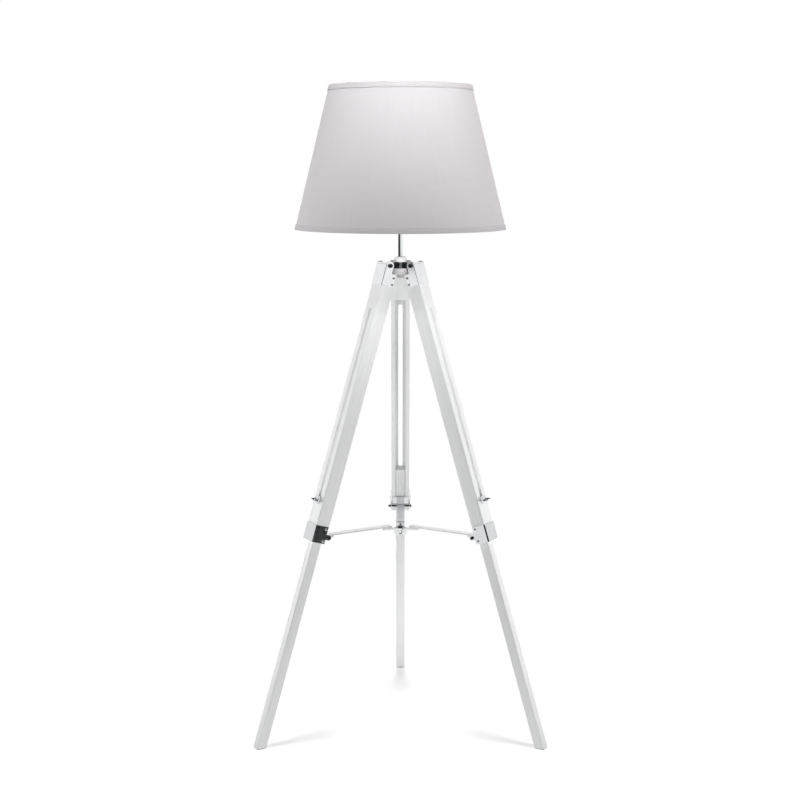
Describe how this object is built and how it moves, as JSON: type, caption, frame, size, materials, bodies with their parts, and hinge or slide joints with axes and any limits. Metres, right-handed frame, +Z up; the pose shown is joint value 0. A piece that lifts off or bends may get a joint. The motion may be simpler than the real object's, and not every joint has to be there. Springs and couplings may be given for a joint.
{
  "type": "tripod floor lamp",
  "caption": "Floor lamp on a folding wooden tripod with sliding lower legs, chrome fittings, a spreader and a tapered cloth shade.",
  "frame": {"origin": "on the floor, on the axis of the pole", "axes": "+Z up along the pole, +Y towards the rear leg, +X to the right seen from the front"},
  "size_m": [0.6534, 0.6062, 1.45],
  "materials": {
    "white_wood": "white paint, satin",
    "pad_rubber": "matt",
    "chrome": "polished",
    "white_plastic": "satin",
    "ceramic": "unglazed",
    "brass": "plain",
    "bulb_metal": "plain",
    "opal_glass": "opal",
    "shade_cloth": "fine plain weave on a stiff backing",
    "shade_tape": "woven tape",
    "white_wire": "white powder coat"
  },
  "bodies": {
    "head": {"hub": "chrome", "collar": "chrome", "pole": "chrome", "cord_bushing": "white_plastic", "holder_cap": "white_plastic", "holder_skirt": "white_plastic", "holder_insert": "ceramic", "screw_shell": "brass", "shade_ring_lower": "white_plastic", "shade_carrier": "white_wire", "shade_ring_wire": "white_wire", "shade_cover": "shade_cloth", "shade_trim_top": "shade_tape", "shade_trim_bottom": "shade_tape"},
    "shade_ring": {"shade_ring_upper": "white_plastic"},
    "bulb": {"bulb_cap": "bulb_metal", "bulb_glass": "opal_glass"},
    "spreader": {"spreader_plate": "chrome", "spreader_bolt": "chrome"},
    "spreader_nut": {"spreader_wing_nut": "chrome"},
    "leg_left": {"upper_leg_left": "white_wood", "leg_cap_left": "chrome", "leg_bracket_left": "chrome", "leg_screws_left": "chrome", "clamp_plate_left": "chrome", "hinge_bolt_left": "chrome", "pivot_bolt_left": "chrome"},
    "lower_left": {"lower_leg_left": "white_wood", "foot_pad_left": "pad_rubber", "slot_bolt_left": "chrome"},
    "nut_left": {"wing_nut_left": "chrome"},
    "arm_left": {"spreader_arm_left": "chrome", "arm_pin_left": "chrome"},
    "leg_right": {"upper_leg_right": "white_wood", "leg_cap_right": "chrome", "leg_bracket_right": "chrome", "leg_screws_right": "chrome", "clamp_plate_right": "chrome", "hinge_bolt_right": "chrome", "pivot_bolt_right": "chrome"},
    "lower_right": {"lower_leg_right": "white_wood", "foot_pad_right": "pad_rubber", "slot_bolt_right": "chrome"},
    "nut_right": {"wing_nut_right": "chrome"},
    "arm_right": {"spreader_arm_right": "chrome", "arm_pin_right": "chrome"},
    "leg_rear": {"upper_leg_rear": "white_wood", "leg_cap_rear": "chrome", "leg_bracket_rear": "chrome", "leg_screws_rear": "chrome", "clamp_plate_rear": "chrome", "hinge_bolt_rear": "chrome", "pivot_bolt_rear": "chrome"},
    "lower_rear": {"lower_leg_rear": "white_wood", "foot_pad_rear": "pad_rubber", "slot_bolt_rear": "chrome"},
    "nut_rear": {"wing_nut_rear": "chrome"},
    "arm_rear": {"spreader_arm_rear": "chrome", "arm_pin_rear": "chrome"}
  },
  "joints": [
    {"name": "fold_left", "type": "hinge", "parent": "head", "child": "leg_left", "pos_m": [-0.03412, -0.0197, 1.0583], "axis": [0.5, -0.866, 0], "range_deg": [0, 8]},
    {"name": "extend_left", "type": "slide", "parent": "leg_left", "child": "lower_left", "axis": [0.2601, 0.1502, 0.9538], "range_m": [0, 0.42]},
    {"name": "wing_nut_left", "type": "hinge", "parent": "lower_left", "child": "nut_left", "pos_m": [-0.1812, -0.10462, 0.54564], "axis": [-0.826, -0.4769, 0.3004], "continuous": true},
    {"name": "arm_left", "type": "hinge", "parent": "leg_left", "child": "arm_left", "pos_m": [-0.17014, -0.09823, 0.46267], "axis": [0.5, -0.866, 0], "range_deg": [0, 52.93]},
    {"name": "fold_right", "type": "hinge", "parent": "head", "child": "leg_right", "pos_m": [0.03412, -0.0197, 1.0583], "axis": [0.5, 0.866, 0], "range_deg": [0, 8]},
    {"name": "extend_right", "type": "slide", "parent": "leg_right", "child": "lower_right", "axis": [-0.2601, 0.1502, 0.9538], "range_m": [0, 0.42]},
    {"name": "wing_nut_right", "type": "hinge", "parent": "lower_right", "child": "nut_right", "pos_m": [0.1812, -0.10462, 0.54564], "axis": [0.826, -0.4769, 0.3004], "continuous": true},
    {"name": "arm_right", "type": "hinge", "parent": "leg_right", "child": "arm_right", "pos_m": [0.17014, -0.09823, 0.46267], "axis": [0.5, 0.866, 0], "range_deg": [0, 52.93]},
    {"name": "fold_rear", "type": "hinge", "parent": "head", "child": "leg_rear", "pos_m": [0, 0.0394, 1.0583], "axis": [-1, 0, 0], "range_deg": [0, 8]},
    {"name": "extend_rear", "type": "slide", "parent": "leg_rear", "child": "lower_rear", "axis": [0, -0.3004, 0.9538], "range_m": [0, 0.42]},
    {"name": "wing_nut_rear", "type": "hinge", "parent": "lower_rear", "child": "nut_rear", "pos_m": [0, 0.20923, 0.54564], "axis": [0, 0.9538, 0.3004], "continuous": true},
    {"name": "arm_rear", "type": "hinge", "parent": "leg_rear", "child": "arm_rear", "pos_m": [0, 0.19646, 0.46267], "axis": [-1, 0, 0], "range_deg": [0, 52.93]},
    {"name": "spreader_rise", "type": "slide", "parent": "head", "child": "spreader", "axis": [0, 0, 1], "range_m": [0, 0.1214]},
    {"name": "spreader_nut", "type": "hinge", "parent": "spreader", "child": "spreader_nut", "pos_m": [0, 0, 0.45517], "axis": [0, 0, 1], "continuous": true},
    {"name": "shade_ring_turn", "type": "hinge", "parent": "head", "child": "shade_ring", "pos_m": [0, 0, 1.194], "axis": [0, 0, 1], "continuous": true},
    {"name": "bulb_turn", "type": "hinge", "parent": "head", "child": "bulb", "pos_m": [0, 0, 1.22], "axis": [0, 0, 1], "continuous": true}
  ],
  "couplings": [
    {"joint": "arm_left", "follows": "fold_left", "ratio": 6.6101},
    {"joint": "arm_right", "follows": "fold_left", "ratio": 6.6101},
    {"joint": "fold_right", "follows": "fold_left", "ratio": 1},
    {"joint": "arm_rear", "follows": "fold_left", "ratio": 6.6101},
    {"joint": "fold_rear", "follows": "fold_left", "ratio": 1},
    {"joint": "spreader_rise", "follows": "fold_left", "m_per_rad": 0.8682}
  ]
}
